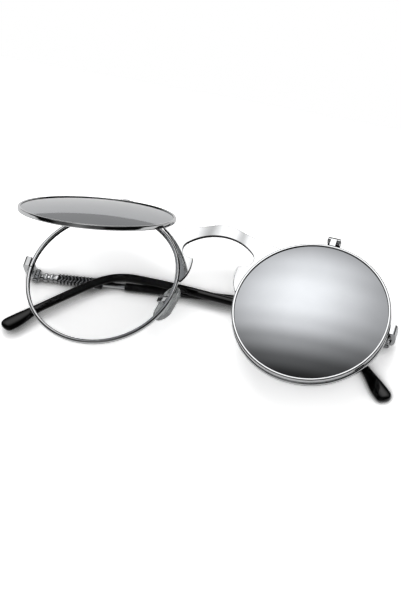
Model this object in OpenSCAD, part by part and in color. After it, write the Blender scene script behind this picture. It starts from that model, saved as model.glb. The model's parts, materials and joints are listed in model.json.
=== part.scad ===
// Round steampunk sunglasses with flip up mirror lenses, lying folded on a table.
// The front has its own frame: X along the front, Y up the front, Z out of its face.
// Pieces are drawn for the right side, outward being +X, and mirrored for the left.

/* [Front] */
// Gap between the two rims
rim_gap = 19.8; // [18:0.1:22]
// Angle by which each rim turns back towards the temple
wrap = 4.1; // [0:0.1:8]
// Outer diameter of the rims
rim_od = 52; // [46:0.5:56]
// Width of the rim wire, across the ring
rim_w = 1.3; // [1.1:0.05:1.8]
// Thickness of the rim wire, front to back
rim_t = 1.7; // [1.5:0.05:2.4]
// Height of the cut where the rim opens to take its lens
split_gap = 0.25; // [0.15:0.05:0.4]
// Height of that cut above the middle of the rim
split_y = -0.45; // [-0.8:0.05:-0.2]

/* [Lenses] */
// Thickness of the clear lenses
clear_lens_t = 1.1; // [0.8:0.05:1.2]
// Thickness of the mirror lenses
mirror_lens_t = 0.8; // [0.6:0.05:1]
// Height of the lens dome at its middle
lens_dome = 2.0; // [1:0.1:3]

/* [Flips] */
// Width of the flip ring, across the ring
flip_w = 0.95; // [0.85:0.05:1.3]
// Thickness of the flip ring, front to back
flip_t = 1.6; // [1.3:0.05:2]
// Gap between the rim and the closed flip ring
flip_gap = 0.9; // [0.6:0.05:1.3]
// Angle at which the left flip stands open
flip_left_angle = 47.5; // [0:0.5:90]
// Angle at which the right flip stands open
flip_right_angle = 0; // [0:0.5:90]
// Distance from the rim's top to the flip hinge pin
flip_pin_rise = 2.6; // [2.4:0.05:3.2]
// Radius of the flip hinge barrel
flip_barrel_r = 1.15; // [1:0.05:1.25]
// Length of the flip hinge barrel
flip_barrel_l = 4.2; // [3.6:0.1:6]
// Radius of the flip hinge pin
flip_pin_r = 0.45; // [0.3:0.05:0.6]

/* [Bridge] */
// Thickness of the bridge plate
bridge_t = 1.15; // [0.8:0.05:1.4]
// Height of the bridge plate's middle in front of the rims' middles
bridge_z = 2.25; // [2:0.05:2.5]
// Height of the top of the arch
bridge_top = 26.5; // [26:0.1:30]
// Height of the top of the keyhole
keyhole_top = 22.1; // [21:0.1:23]
// Radius of the keyhole's arch
keyhole_r = 15.8; // [15:0.1:16.5]
// Radius of the keyhole's side lobes
lobe_r = 3.2; // [2.9:0.05:3.5]
// Height of the corner under each lobe
wing_top = 12; // [11.5:0.05:12.5]
// Half of the nose gap between the wings
wing_x = 7.65; // [7:0.05:8.2]
// Height of the wing's lower tip
wing_tip_y = 2.8; // [2:0.1:5]

/* [Endpieces and hinges] */
// Distance of the temple hinge inside the outermost point of the rim
hinge_inset = 1.4; // [1:0.1:3]
// Height of the temple hinge's middle
hinge_y = 0.9; // [0.5:0.1:1.4]
// Depth of the temple hinge behind the front
hinge_z = -8.4; // [-10:0.05:-7.5]
// Radius of the hinge barrel
barrel_r = 1.3; // [1.1:0.05:1.4]
// Height of the hinge barrel
barrel_h = 3.6; // [3.2:0.1:4.4]
// Height of the middle knuckle, on the temple
mid_knuckle_h = 1.5; // [1.2:0.1:1.8]
// Radius of the hinge screw
hinge_screw_r = 0.5; // [0.35:0.05:0.6]
// Width of the endpiece outside the rim
lug_w = 2.3; // [2.1:0.1:3]
// Height of the endpiece
lug_h = 3.6; // [3:0.1:4]
// Thickness of the endpiece's side wall
lug_wall = 1.2; // [1:0.05:1.4]

/* [Temples] */
// Distance from the hinge to the start of the patterned grip
braid_start = 7.2; // [6.5:0.1:9]
// Length of the patterned grip
braid_l = 15.3; // [12:0.1:18]
// Height of the patterned grip at the hinge end
braid_h = 2.85; // [2.6:0.05:3.2]
// Height of the patterned grip at its square end
braid_end_h = 3.5; // [3:0.05:4]
// Pitch of the herringbone pattern
braid_pitch = 1.2; // [0.9:0.05:1.6]
// Distance from the hinge to the mouth of the sleeve
sleeve_start = 30.2; // [28.5:0.1:36]
// Distance from the hinge to where the temple starts to bow
bow_at = 66.5; // [60:0.5:75]
// Length of the bow ahead of the ear bend
bow_l = 21.5; // [15:0.5:30]
// Angle by which the bow turns down
bow_angle = 4.3; // [0:0.1:8]
// Length of the tight part of the ear bend
bend_l = 11; // [9:0.5:20]
// Angle of the tight part of the ear bend
bend_angle = 31; // [20:0.5:35]
// Length of the easy part of the ear bend
ease_l = 6; // [4:0.5:12]
// Angle of the easy part of the ear bend
ease_angle = 9.5; // [4:0.5:12]
// Length of the temple tip behind the bend
tip_l = 31; // [24:0.5:38]
// Angle by which the tip still turns down
tip_angle = 2.5; // [0:0.5:10]
// Height of the sleeve
sleeve_h = 2.9; // [2.6:0.05:3.4]
// Thickness of the sleeve
sleeve_t = 1.9; // [1.7:0.05:2.1]
// Length over which the tip flares
flare_l = 15; // [10:0.5:20]
// Height that the flare adds on the upper side
flare_up = 0.4; // [0:0.05:1]
// Height that the flare adds on the lower side
flare_down = 1.8; // [0.5:0.05:2.2]
// Height of the bare bar
bar_h = 1.6; // [1.3:0.05:2]
// Thickness of the bare bar
bar_t = 1.3; // [1.1:0.05:1.5]
// Rise of the folded left temple from its hinge
rise_left = 5.1; // [3:0.1:6]
// Rise of the folded right temple from its hinge
rise_right = 3.9; // [3:0.1:6]
// Angle by which the left temple folds short of the front, and the right one past it
fold_off = 1; // [0.9:0.05:2]

/* [Nose pads] */
// Length of a nose pad
pad_l = 14; // [12:0.1:15]
// Width of a nose pad
pad_w = 7.2; // [6:0.1:8]
// Thickness of a nose pad
pad_t = 2; // [1.7:0.1:2.4]
// Distance of the pad's middle from the middle of the front
pad_x = 13.8; // [13.4:0.1:14.4]
// Height of the pad's middle
pad_y = -2.7; // [-3.5:0.1:-1.5]
// Depth of the pad's middle
pad_z = -4.3; // [-4.6:0.1:-4]
// Angle of the pad's face from the depth direction
pad_splay = 58; // [50:1:65]
// Angle by which the pads spread towards their lower ends
pad_flare = 10; // [5:1:15]
// Radius of the pad arm's wire
arm_r = 0.4; // [0.3:0.05:0.5]

/* [Hidden] */
$fn = 64;

left = -1;
right = 1;
// Clearance of a shaft that turns in a bore
running = 0.05;
// Gap between pieces that are fixed to each other
seat = 0.02;
// Gap between the knuckles of a hinge
knuckle_gap = 0.05;
// Overlap that makes a cut pass right through
cut = 0.5;
// How far the cut for a rim reaches on each side of its middle plane
rim_reach = 10;

chrome = "silver";
black = [0.06, 0.06, 0.06];

rim_r = rim_od / 2;
rim_spacing = rim_gap + rim_od;
hinge_x = rim_gap / 2 + rim_od - hinge_inset;
rim_ri = rim_r - rim_w;
flip_ri = rim_r - flip_w;
// Depth of the groove that holds a lens
groove = 0.35;
// Half width of a groove at its mouth and at its bottom
groove_side = 0.12;
clear_r = rim_ri + groove - seat;
mirror_r = flip_ri + groove - seat;
flip_z = rim_t / 2 + flip_gap + flip_t / 2;
flip_pin_y = rim_r + flip_pin_rise;
flip_pin_z = rim_t / 2 + flip_gap;
flip_mid_l = flip_barrel_l * 0.46;

// The hinge seen from the right rim's own frame
hinge_dx = hinge_x - rim_spacing / 2;
hinge_lx = hinge_dx * cos(wrap) - hinge_z * sin(wrap);
hinge_lz = hinge_dx * sin(wrap) + hinge_z * cos(wrap);

// How far the temple's middle plane lies behind its hinge axis when folded
temple_off = 0.8;
temple_face = temple_off + sleeve_t / 2;
// Turning the front by the fold angle lays the left temple's outer face on the table
lift = temple_face + hinge_x * sin(fold_off) - hinge_z * cos(fold_off);
rest_u = 62;
rest_x = -hinge_x * cos(fold_off) - hinge_z * sin(fold_off) + rest_u * cos(rise_left);
rest_y = hinge_y + rest_u * sin(rise_left);

// Placing

module lying() {
    translate([-rest_x, -rest_y, lift]) rotate([0, -fold_off, 0]) children();
}

module on_side(side) {
    lying() mirror([side < 0 ? 1 : 0, 0, 0]) children();
}

module at_rim(side) {
    on_side(side) translate([rim_spacing / 2, 0, 0]) rotate([0, wrap, 0]) children();
}

module at_hinge(side) {
    on_side(side) translate([hinge_x, hinge_y, hinge_z]) children();
}

module raised(angle) {
    translate([0, flip_pin_y, flip_pin_z]) rotate([-angle, 0, 0])
        translate([0, -flip_pin_y, -flip_pin_z]) children();
}

module at_flip(side) {
    at_rim(side) raised(side < 0 ? flip_left_angle : flip_right_angle) children();
}

// In a temple's frame X runs from the hinge to the tip, Y up and Z to the inner face
module at_temple(side) {
    at_hinge(side) rotate([0, side * fold_off, 0]) mirror([1, 0, 0]) children();
}

module along_temple(side) {
    at_temple(side) rotate([0, 0, side < 0 ? rise_left : rise_right])
        translate([0, 0, -temple_off]) children();
}

// In a pad's frame Y runs up the pad, Z out of its back and X towards its front edge
module at_pad(side) {
    on_side(side) translate([pad_x, pad_y, pad_z]) rotate([0, 0, pad_flare])
        rotate([0, 90 - pad_splay, 0]) children();
}

// A cylinder about the Y axis, from height y0 to y1
module post(r, y0, y1) {
    translate([0, y1, 0]) rotate([90, 0, 0]) cylinder(r = r, h = y1 - y0);
}

// A cylinder about the X axis, from x0 to x1
module axle(r, x0, x1) {
    translate([x0, 0, 0]) rotate([0, 90, 0]) cylinder(r = r, h = x1 - x0);
}

module rod(a, b, r) {
    d = b - a;
    length = norm(d);
    translate(a) rotate([0, acos(d.z / length), atan2(d.y, d.x)]) cylinder(r = r, h = length);
}

// Rims

function arc(c, r, a0, a1, n) = [for (i = [0 : n]) let (a = a0 + (a1 - a0) * i / n)
    [c.x + r * cos(a), c.y + r * sin(a)]];

// Section of a ring wire with rounded corners, a lens groove on its inner side
module wire_section(r_in, r_out, t, corner, groove_w) {
    h = t / 2;
    difference() {
        polygon(concat(
            arc([r_out - corner, -h + corner], corner, -90, 0, 6),
            arc([r_out - corner, h - corner], corner, 0, 90, 6),
            arc([r_in + corner / 2, h - corner / 2], corner / 2, 90, 180, 4),
            arc([r_in + corner / 2, -h + corner / 2], corner / 2, 180, 270, 4)));
        translate([r_in - cut, -groove_w / 2 - groove_side])
            square([groove + cut, groove_w + 2 * groove_side]);
    }
}

module lens(r, t) {
    curve_r = (r * r + lens_dome * lens_dome) / (2 * lens_dome);
    top = t / 2 + lens_dome;
    difference() {
        intersection() {
            translate([0, 0, -t]) cylinder(r = r, h = top + 2 * t);
            translate([0, 0, top - curve_r]) sphere(r = curve_r, $fn = 180);
        }
        translate([0, 0, top - curve_r - t]) sphere(r = curve_r, $fn = 180);
    }
}

module rim(side) {
    color(chrome) at_rim(side) difference() {
        rotate_extrude($fn = 144) wire_section(rim_ri, rim_r, rim_t, 0.5, clear_lens_t);
        translate([rim_ri - cut, split_y - split_gap / 2, -rim_t])
            cube([rim_w + 2 * cut, split_gap, 2 * rim_t]);
    }
}

module clear_lens(side) {
    color("white", 0.3) at_rim(side) lens(clear_r, clear_lens_t);
}

// The rim lock closes the split, its lower half hangs on the rim's lower end

lock_w = 2;
lock_t = 2;
lock_h = 1.9;
lock_x = rim_ri - 0.1;
lock_screw_r = 0.4;
lock_head_r = 0.75;
lock_head_h = 0.45;
lock_axis_x = lock_x + lock_w / 2;
lock_axis_z = -rim_t / 2 - seat - lock_t / 2;
lock_low_top = split_y - split_gap / 2;
lock_high_bottom = split_y + split_gap / 2;

module rim_lock(side) {
    color(chrome) at_rim(side) difference() {
        translate([lock_x, lock_low_top - lock_h, lock_axis_z - lock_t / 2]) cube([lock_w, lock_h, lock_t]);
        translate([lock_axis_x, 0, lock_axis_z]) {
            post(lock_screw_r + seat, lock_low_top - lock_h - cut, lock_low_top + cut);
            post(lock_head_r + seat, lock_low_top - lock_h - cut, lock_low_top - lock_h + lock_head_h);
        }
    }
}

module slotted_head(r, h) {
    slot = r * 0.4;
    difference() {
        translate([0, -h, 0]) rotate([-90, 0, 0]) cylinder(r = r, h = h);
        translate([-2 * r, -h - cut, -slot / 2]) cube([4 * r, cut + h * 0.4, slot]);
    }
}

module rim_lock_screw(side) {
    head_y = lock_low_top - lock_h + lock_head_h - seat;
    color("gray") at_rim(side) translate([lock_axis_x, 0, lock_axis_z]) {
        post(lock_screw_r, head_y - seat, lock_high_bottom + lock_h - 0.3);
        translate([0, head_y, 0]) slotted_head(lock_head_r, lock_head_h);
    }
}

// Endpieces, each with two knuckles of the temple hinge

lug_bottom = lock_high_bottom;
lug_front = rim_t / 2;
lug_back = -2.2;
lug_corner = 1;
wall_end_x = hinge_lx + barrel_r + 0.05;
lug_out_x = rim_r + lug_w;
// Clearance round the temple's turning knuckle and neck
neck_clear = barrel_r + 0.35;

function wall_curve(inset, n) = [for (i = [0 : n]) let (a = 76 * i / n)
    [wall_end_x - inset + (lug_out_x - wall_end_x) * cos(a),
        lug_back - (lug_back - hinge_lz + 0.3 - inset / 4) * sin(a)]];

function reversed(list) = [for (i = [len(list) - 1 : -1 : 0]) list[i]];

module endpiece(side) {
    color(chrome) at_rim(side) difference() {
        union() {
            translate([0, lug_bottom, 0]) rotate([90, 0, 0]) mirror([0, 0, 1]) linear_extrude(lug_h)
                polygon(concat(
                    [[rim_r + seat, lug_back], [rim_r + seat, lug_front]],
                    arc([lug_out_x - lug_corner, lug_front - lug_corner], lug_corner, 90, 0, 8),
                    wall_curve(0, 12), reversed(wall_curve(lug_wall, 12))));
            // Upper half of the rim lock
            translate([lock_x, lug_bottom, lock_axis_z - lock_t / 2])
                cube([lug_out_x - lug_wall - lock_x, lock_h, lock_t]);
            // Back plate that carries the knuckles
            translate([hinge_lx, hinge_y, hinge_lz]) for (dir = [-1, 1])
                post(barrel_r, dir > 0 ? mid_knuckle_h / 2 + knuckle_gap : -barrel_h / 2,
                    dir > 0 ? barrel_h / 2 : -mid_knuckle_h / 2 - knuckle_gap);
            translate([hinge_lx, hinge_y - barrel_h / 2, hinge_lz])
                cube([barrel_r, barrel_h, barrel_r * 1.6]);
        }
        translate([lock_axis_x, 0, lock_axis_z])
            post(lock_screw_r + seat, lug_bottom - cut, lug_bottom + lock_h + cut);
        translate([hinge_lx, hinge_y, hinge_lz]) {
            post(neck_clear, -mid_knuckle_h / 2 - knuckle_gap, mid_knuckle_h / 2 + knuckle_gap);
            post(hinge_screw_r + seat, -barrel_h, barrel_h);
        }
    }
}

hinge_head_r = 0.95;
hinge_head_h = 0.4;

module temple_hinge_screw(side) {
    color("gray") at_hinge(side) {
        post(hinge_screw_r, -barrel_h / 2 - seat, barrel_h / 2 - 0.1);
        translate([0, -barrel_h / 2 - seat, 0]) slotted_head(hinge_head_r, hinge_head_h);
    }
}

// Bridge plate

// The top edge is a round crown that runs into a wide hollow on each side
crown_r = 13;
crown_angle = 22;
hollow_r = 62;
hollow_angle = 13;
crown_end = [crown_r * sin(crown_angle), bridge_top - crown_r * (1 - cos(crown_angle))];
hollow_mid = [crown_end.x + hollow_r * sin(crown_angle), crown_end.y + hollow_r * cos(crown_angle)];
// The lobe touches the arch from inside
lobe_y = wing_top + lobe_r;
lobe_x = sqrt(pow(keyhole_r - lobe_r, 2) - pow(keyhole_top - keyhole_r - lobe_y, 2));
lobe_angle = atan2(lobe_y - (keyhole_top - keyhole_r), lobe_x);
wing_tip_w = 0.9;
wing_tip_x = rim_spacing / 2 - sqrt(rim_r * rim_r - wing_tip_y * wing_tip_y) - wing_tip_w / 2;

function wing_edge(n) = [for (i = [0 : n]) let (f = i / n,
    x = wing_x - 0.25 * sin(180 * f) + (wing_tip_x - wing_tip_w / 2 - wing_x) * pow(f, 3))
    [x, wing_top - 0.5 - (wing_top - 0.5 - wing_tip_y) * f]];

bridge_half = concat(
    arc([0, bridge_top - crown_r], crown_r, 90, 90 - crown_angle, 8),
    arc(hollow_mid, hollow_r, 270 - crown_angle, 270 - crown_angle + hollow_angle, 8),
    [[rim_spacing / 2 - rim_r * 0.5, rim_r * 0.8], [rim_spacing / 2 - rim_r * 0.9, wing_tip_y]],
    arc([wing_tip_x, wing_tip_y], wing_tip_w / 2, 0, -180, 8),
    reversed(wing_edge(12)),
    arc([wing_x + 0.5, wing_top - 0.5], 0.5, 180, 90, 4),
    arc([lobe_x, lobe_y], lobe_r, -90, lobe_angle, 16),
    arc([0, keyhole_top - keyhole_r], keyhole_r, lobe_angle, 90, 12));

module bridge_plate() {
    color(chrome) difference() {
        lying() translate([0, 0, bridge_z - bridge_t / 2]) linear_extrude(bridge_t)
            polygon(concat(bridge_half, [for (p = reversed(bridge_half)) if (p.x > 0.01) [-p.x, p.y]]));
        for (side = [left, right])
            at_rim(side) translate([0, 0, -rim_reach])
                cylinder(r = rim_r + seat, h = 2 * rim_reach, $fn = 144);
    }
}

// Flip hinges and flips

// A knuckle pair on a small bracket that stands on the rim's top
base_front = flip_pin_z - flip_barrel_r - 0.15;
base_back = -rim_t / 2;

module flip_hinge_base(side) {
    color(chrome) at_rim(side) difference() {
        union() {
            translate([-flip_barrel_l / 2, rim_r - 0.35, base_back])
                cube([flip_barrel_l, flip_pin_rise + 0.35 + flip_barrel_r, base_front - base_back]);
            for (dir = [-1, 1]) mirror([dir < 0 ? 1 : 0, 0, 0]) {
                translate([0, flip_pin_y, flip_pin_z])
                    axle(flip_barrel_r, flip_mid_l / 2 + knuckle_gap, flip_barrel_l / 2);
                translate([flip_mid_l / 2 + knuckle_gap, flip_pin_y - flip_barrel_r * 0.6, base_back])
                    cube([(flip_barrel_l - flip_mid_l) / 2 - knuckle_gap, flip_barrel_r * 1.6,
                        flip_pin_z - base_back]);
            }
        }
        translate([0, 0, -rim_reach]) cylinder(r = rim_r + seat, h = 2 * rim_reach, $fn = 144);
        translate([0, flip_pin_y, flip_pin_z]) axle(flip_pin_r + seat, -flip_barrel_l, flip_barrel_l);
    }
}

module flip_hinge_pin(side) {
    color("gray") at_rim(side) translate([0, flip_pin_y, flip_pin_z])
        axle(flip_pin_r, -flip_barrel_l / 2 - 0.15, flip_barrel_l / 2 + 0.15);
}

module flip_ring(side) {
    color(chrome) at_flip(side) translate([0, 0, flip_z])
        rotate_extrude($fn = 144) wire_section(flip_ri, rim_r, flip_t, 0.3, mirror_lens_t);
}

module mirror_lens(side) {
    color("gainsboro") at_flip(side) translate([0, 0, flip_z]) lens(mirror_r, mirror_lens_t);
}

// Middle knuckle with a tongue that is soldered on the flip ring's front top
module flip_leaf(side) {
    tongue_z = flip_z - flip_t / 2 + 0.3;
    tongue_t = flip_t - 0.45;
    color(chrome) at_flip(side) difference() {
        union() {
            translate([0, flip_pin_y, flip_pin_z]) axle(flip_barrel_r, -flip_mid_l / 2, flip_mid_l / 2);
            translate([-flip_mid_l / 2, rim_r - 0.4, tongue_z])
                cube([flip_mid_l, flip_pin_y - rim_r + 0.4, tongue_t]);
        }
        translate([0, flip_pin_y, flip_pin_z]) axle(flip_pin_r + running, -flip_barrel_l, flip_barrel_l);
        translate([0, 0, -rim_reach]) cylinder(r = rim_r + seat, h = 2 * rim_reach, $fn = 144);
    }
}

// Temples

leaf_neck = 2;
leaf_h = 2.6;
leaf_t = 1.4;

module temple_leaf(side) {
    color(chrome) difference() {
        union() {
            at_temple(side) {
                post(barrel_r, -mid_knuckle_h / 2, mid_knuckle_h / 2);
                translate([0, -mid_knuckle_h / 2, -temple_off - leaf_t / 2])
                    cube([leaf_neck + 1, mid_knuckle_h, leaf_t]);
            }
            along_temple(side) {
                translate([leaf_neck, -leaf_h / 2, -leaf_t / 2])
                    cube([braid_start - seat - leaf_neck, leaf_h, leaf_t]);
                // Two turned beads ahead of the grip
                for (u = [leaf_neck + 0.5, leaf_neck + 2.5])
                    translate([u, -leaf_h / 2 - 0.15, -leaf_t / 2 - 0.1])
                        cube([1.1, leaf_h + 0.3, leaf_t + 0.2]);
            }
        }
        at_temple(side) post(hinge_screw_r + running, -barrel_h, barrel_h);
        // Socket for the bar
        along_temple(side)
            translate([braid_start - bar_socket - seat, -core_h / 2 - seat, -core_t / 2 - seat])
                cube([bar_socket + cut, core_h + 2 * seat, core_t + 2 * seat]);
    }
}

bar_socket = 2;
core_h = 1.2;
core_t = 0.9;

// Middle line of the temple as [length, turn] of arcs that follow each other
arcs = [[bow_at, 0], [bow_l, bow_angle], [bend_l, bend_angle], [ease_l, ease_angle], [tip_l, tip_angle]];
function arcs_len(k) = k == 0 ? 0 : arcs_len(k - 1) + arcs[k - 1][0];
function arcs_turn(k) = k == 0 ? 0 : arcs_turn(k - 1) + arcs[k - 1][1];
path_end = arcs_len(len(arcs));
bend_start = arcs_len(2);
bend_end = arcs_len(4);

// The chord of the first l millimetres of arc k
function chord(k, l) = let (half = arcs[k][1] * l / arcs[k][0] / 2, mid = arcs_turn(k) + half,
    c = half == 0 ? l : l * sin(half) / (half * PI / 180)) [c * cos(mid), -c * sin(mid)];
function path_pt(s, k = 0) = k == len(arcs) - 1 || s <= arcs[k][0]
    ? chord(k, s) : chord(k, arcs[k][0]) + path_pt(s - arcs[k][0], k + 1);
function path_turn(s, k = 0) = k == len(arcs) - 1 || s <= arcs[k][0]
    ? arcs_turn(k) + arcs[k][1] * s / arcs[k][0] : path_turn(s - arcs[k][0], k + 1);
function path_side(s, d) = let (a = path_turn(s)) path_pt(s) + d * [sin(a), cos(a)];

// Share of the flare that the tip has at s, from 0 to 1
function flare(s) = let (f = min(max((s - path_end + flare_l) / (flare_l * 0.75), 0), 1)) f * f * (3 - 2 * f);
// Share of its height that the round end keeps at s
round_end = 2.2;
function closing(s) = let (f = min((path_end - s) / round_end, 1)) sqrt(max(1 - (1 - f) * (1 - f), 0));

function even(from, to, n) = [for (i = [0 : n]) from + (to - from) * i / n];
bend_steps = concat(even(bow_at, bend_start, 4), even(bend_start + 1, bend_end, 14));

sleeve_steps = concat([sleeve_start], bend_steps, even(path_end - flare_l, path_end - round_end, 10),
    [for (i = [1 : 7]) path_end - round_end * (1 - sin(90 * i / 7.2))]);

module sleeve_outline(inset) {
    polygon(concat(
        [for (s = sleeve_steps) path_side(s, (sleeve_h / 2 + flare_up * flare(s) - inset) * closing(s))],
        reversed([for (s = sleeve_steps)
            path_side(s, -(sleeve_h / 2 + flare_down * flare(s) - inset) * closing(s))])));
}

// The core ends inside the sleeve, ahead of the flared tip
core_end = path_end - flare_l;

module core_outline(h, from, end) {
    steps = concat([from], bend_steps, [end]);
    polygon(concat([for (s = steps) path_side(s, h / 2)], reversed([for (s = steps) path_side(s, -h / 2)])));
}

module slab(t) {
    translate([0, 0, -t / 2]) linear_extrude(t) children();
}

module temple_sleeve(side) {
    color(black) along_temple(side) difference() {
        union() {
            slab(sleeve_t) sleeve_outline(0.35);
            slab(sleeve_t * 0.76) sleeve_outline(0.12);
            slab(sleeve_t * 0.48) sleeve_outline(0);
        }
        slab(core_t + 2 * seat) core_outline(core_h + 2 * seat, sleeve_start - cut, core_end + seat);
    }
}

// The bar is full size where it is bare, and thinner inside the leaf and the sleeve
module temple_bar(side) {
    color(chrome) along_temple(side) {
        slab(core_t) core_outline(core_h, braid_start - bar_socket, core_end);
        translate([braid_start, -bar_h / 2, -bar_t / 2])
            cube([sleeve_start - seat - braid_start, bar_h, bar_t]);
    }
}

grip_t = 1.7;
rib_w = 0.45;
rib_rise = 0.1;
rib_count = floor((braid_l - braid_pitch) / braid_pitch);

module temple_braid(side) {
    rib_l = braid_h / 2 - 0.1;
    color("dimgray") along_temple(side) difference() {
        union() {
            slab(grip_t) polygon([[braid_start, -braid_h / 2], [braid_start + braid_l, -braid_end_h / 2],
                [braid_start + braid_l, braid_end_h / 2], [braid_start, braid_h / 2]]);
            for (i = [0 : rib_count - 1], row = [-1, 1])
                translate([braid_start + braid_pitch * (i + 0.8), row * braid_h * 0.26, 0])
                    rotate([0, 0, row * 30]) translate([-rib_w / 2, -rib_l / 2, -grip_t / 2 - rib_rise])
                        cube([rib_w, rib_l, grip_t + 2 * rib_rise]);
        }
        translate([braid_start - cut, -bar_h / 2 - seat, -bar_t / 2 - seat])
            cube([braid_l + 2 * cut, bar_h + 2 * seat, bar_t + 2 * seat]);
    }
}

// Nose pads and what carries them

pad_corner = pad_w / 2 - 0.1;
disc_r = 1.3;
disc_t = 0.4;
tab_h = 1.6;
tab_t = 1.0;
tab_l = 1.6;
pad_screw_r = 0.35;
box_w = 2.4;
box_h = 2.9;
box_l = 2.2;
box_gap = 0.25;
// Height of the screw's axis above the pad's back
pad_axis = box_gap + 1.1;

module pad_shape() {
    dome_r = 26;
    intersection() {
        translate([0, 0, -pad_t]) linear_extrude(pad_t) polygon(concat(
            arc([0, pad_l / 2 - pad_corner], pad_corner, 0, 180, 20),
            arc([0, -pad_l / 2 + pad_corner], pad_corner, 180, 360, 20)));
        translate([0, 0, dome_r - pad_t]) sphere(r = dome_r, $fn = 120);
    }
}

module nose_pad(side) {
    color("white", 0.6) at_pad(side) difference() {
        pad_shape();
        translate([0, 0, -disc_t - seat]) cylinder(r = disc_r + seat, h = disc_t + cut);
    }
}

// Disc that is moulded into the pad, with a tab that the screw goes through
module pad_insert(side) {
    color(chrome) at_pad(side) difference() {
        union() {
            translate([0, 0, -disc_t]) cylinder(r = disc_r, h = disc_t);
            translate([-tab_t / 2, -tab_h / 2, -disc_t]) cube([tab_t, tab_h, disc_t + pad_axis]);
            translate([0, 0, pad_axis]) axle(tab_h / 2, -tab_t / 2, tab_t / 2);
        }
        translate([0, 0, pad_axis]) axle(pad_screw_r + running, -box_w, box_w);
    }
}

module pad_box(side) {
    color(chrome) at_pad(side) difference() {
        translate([-box_w / 2, -box_h / 2, box_gap]) cube([box_w, box_h, box_l + 0.35]);
        translate([-tab_t / 2 - running, -tab_h / 2 - 0.35, box_gap - cut])
            cube([tab_t + 2 * running, tab_h + 0.7, box_l + cut]);
        translate([0, 0, pad_axis]) axle(pad_screw_r + seat, -box_w, box_w);
    }
}

module pad_screw(side) {
    head = 0.35;
    color("gray") at_pad(side) translate([0, 0, pad_axis]) {
        axle(pad_screw_r, -box_w / 2, box_w / 2 + seat);
        translate([box_w / 2 + seat, 0, 0]) rotate([0, 0, 90]) slotted_head(pad_screw_r * 2, head);
    }
}

// The arm leaves the rim's back, crosses in front of the pad and ends on the box
function pad_to_front(p) = let (
    q = [p.x * cos(90 - pad_splay) + p.z * sin(90 - pad_splay), p.y,
        -p.x * sin(90 - pad_splay) + p.z * cos(90 - pad_splay)])
    [pad_x + q.x * cos(pad_flare) - q.y * sin(pad_flare), pad_y + q.x * sin(pad_flare) + q.y * cos(pad_flare),
        pad_z + q.z];
function rim_to_front(p) = [rim_spacing / 2 + p.x * cos(wrap) + p.z * sin(wrap), p.y,
    -p.x * sin(wrap) + p.z * cos(wrap)];

arm_y = pad_y;
arm_root = rim_to_front([-sqrt(pow(rim_r - rim_w / 2, 2) - arm_y * arm_y), arm_y, -rim_t / 2 - seat - arm_r]);
arm_tip = pad_to_front([0, 0, box_gap + box_l + 0.35 + arm_r + seat]);
arm_pts = [arm_root, [arm_root.x + 1, arm_y, arm_root.z - 0.5], arm_tip + [-0.6, 0, 0.5], arm_tip];

module pad_arm(side) {
    color(chrome) on_side(side) {
        for (i = [0 : len(arm_pts) - 2]) rod(arm_pts[i], arm_pts[i + 1], arm_r);
        for (p = arm_pts) translate(p) sphere(r = arm_r * 1.08);
    }
}

rim(left);  // rim_left
rim(right);  // rim_right
rim_lock(left);  // rim_lock_left
rim_lock(right);  // rim_lock_right
for (side = [left, right]) rim_lock_screw(side);  // rim_lock_screws
clear_lens(left);  // clear_lens_left
clear_lens(right);  // clear_lens_right
bridge_plate();
endpiece(left);  // endpiece_left
endpiece(right);  // endpiece_right
for (side = [left, right]) temple_hinge_screw(side);  // temple_hinge_screws
pad_arm(left);  // pad_arm_left
pad_arm(right);  // pad_arm_right
pad_box(left);  // pad_box_left
pad_box(right);  // pad_box_right
for (side = [left, right]) pad_screw(side);  // pad_screws
flip_hinge_base(left);  // flip_hinge_base_left
flip_hinge_base(right);  // flip_hinge_base_right
for (side = [left, right]) flip_hinge_pin(side);  // flip_hinge_pins
flip_ring(left);  // flip_ring_left
flip_ring(right);  // flip_ring_right
flip_leaf(left);  // flip_leaf_left
flip_leaf(right);  // flip_leaf_right
mirror_lens(left);  // mirror_lens_left
mirror_lens(right);  // mirror_lens_right
temple_leaf(left);  // temple_leaf_left
temple_leaf(right);  // temple_leaf_right
temple_bar(left);  // temple_bar_left
temple_bar(right);  // temple_bar_right
temple_braid(left);  // temple_braid_left
temple_braid(right);  // temple_braid_right
temple_sleeve(left);  // temple_sleeve_left
temple_sleeve(right);  // temple_sleeve_right
nose_pad(left);  // nose_pad_left
nose_pad(right);  // nose_pad_right
pad_insert(left);  // pad_insert_left
pad_insert(right);  // pad_insert_right
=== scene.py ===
"""Round flip up glasses, lying folded on a pale table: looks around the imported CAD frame."""

import json
import math

import bmesh
import bpy
import numpy as np
from bpy.props import FloatProperty, FloatVectorProperty, IntProperty, PointerProperty
from mathutils import Matrix, Vector

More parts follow.
